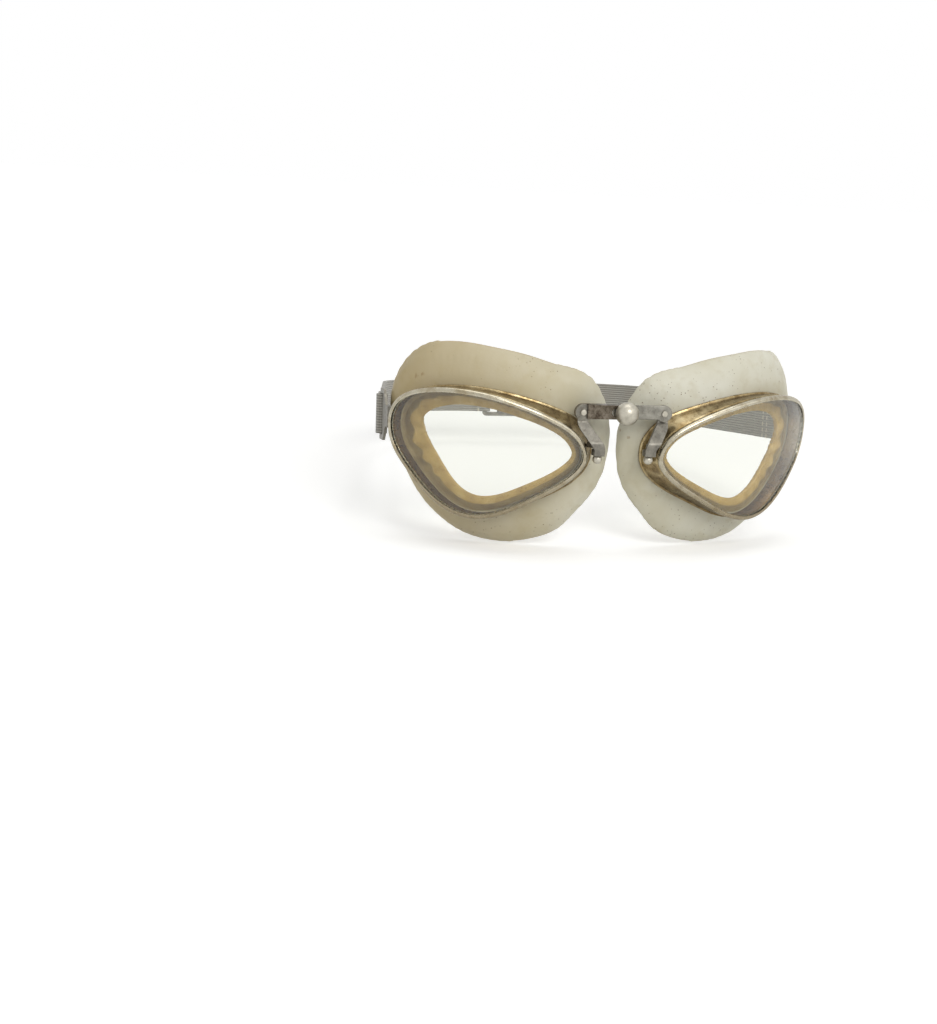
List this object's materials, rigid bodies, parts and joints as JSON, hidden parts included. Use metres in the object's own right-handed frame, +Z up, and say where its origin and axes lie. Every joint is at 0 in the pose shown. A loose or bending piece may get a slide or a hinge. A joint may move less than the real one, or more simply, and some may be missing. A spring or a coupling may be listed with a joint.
{
  "type": "flying goggles",
  "caption": "Flying goggles with curved glass eyepieces in metal rims, moulded rubber face pads, a clamped nose bridge with hinged arms and an elastic headband.",
  "frame": {"origin": "on the middle plane, level with the bridge's clamp and 20 mm behind the centre of its ball knob, where the wearer's nose bridge comes", "axes": "+X to the viewer's right seen from the front, +Y back towards the wearer, +Z up"},
  "size_m": [0.168, 0.1942, 0.0746],
  "materials": {
    "clear_glass": "clear, lightly scratched",
    "nickel_brass": "worn nickel plate over brass",
    "grey_steel": "dull grey steel",
    "matt_nickel": "matt nickel, scuffed",
    "moulded_rubber": "aged cream rubber, satin",
    "elastic_webbing": "woven grey elastic"
  },
  "bodies": {
    "clamp": {"clamp_spindle": "grey_steel", "clamp_washer": "grey_steel", "clamp_nut": "grey_steel", "headband_buckle": "grey_steel"},
    "knob": {"clamp_knob": "matt_nickel"},
    "right_plate": {"right_bridge_plate": "grey_steel", "right_pivot_rivet": "grey_steel"},
    "right_arm": {"right_nose_arm": "grey_steel", "right_hinge_pin": "grey_steel"},
    "right_eyepiece": {"right_lens": "clear_glass", "right_rim": "nickel_brass", "right_side_band": "nickel_brass", "right_face_pad": "moulded_rubber", "right_hinge_knuckle": "grey_steel", "right_temple_loop": "grey_steel", "right_headband": "elastic_webbing"},
    "left_plate": {"left_bridge_plate": "grey_steel", "left_pivot_rivet": "grey_steel"},
    "left_arm": {"left_nose_arm": "grey_steel", "left_hinge_pin": "grey_steel"},
    "left_eyepiece": {"left_lens": "clear_glass", "left_rim": "nickel_brass", "left_side_band": "nickel_brass", "left_face_pad": "moulded_rubber", "left_hinge_knuckle": "grey_steel", "left_temple_loop": "grey_steel", "left_headband": "elastic_webbing"}
  },
  "joints": [
    {"name": "knob_spin", "type": "hinge", "parent": "clamp", "child": "knob", "pos_m": [0, -0.02, 0], "axis": [0, 1, 0], "continuous": true},
    {"name": "right_plate_slide", "type": "slide", "parent": "clamp", "child": "right_plate", "axis": [1, 0, 0], "range_m": [0, 0.0018]},
    {"name": "right_arm_tilt", "type": "hinge", "parent": "right_plate", "child": "right_arm", "pos_m": [0.0154, -0.015, -0.0004], "axis": [0, 1, 0], "range_deg": [-2.5, 2.5]},
    {"name": "right_eyepiece_fold", "type": "hinge", "parent": "right_arm", "child": "right_eyepiece", "pos_m": [0.0097, -0.0194, -0.0122], "axis": [0, 0, -1], "range_deg": [0, 30], "deforming": ["right_headband"]},
    {"name": "left_plate_slide", "type": "slide", "parent": "clamp", "child": "left_plate", "axis": [-1, 0, 0], "range_m": [0, 0.0018]},
    {"name": "left_arm_tilt", "type": "hinge", "parent": "left_plate", "child": "left_arm", "pos_m": [-0.0154, -0.015, -0.0004], "axis": [0, 1, 0], "range_deg": [-2.5, 2.5]},
    {"name": "left_eyepiece_fold", "type": "hinge", "parent": "left_arm", "child": "left_eyepiece", "pos_m": [-0.0097, -0.0194, -0.0122], "axis": [0, 0, 1], "range_deg": [0, 30], "deforming": ["left_headband"]}
  ]
}
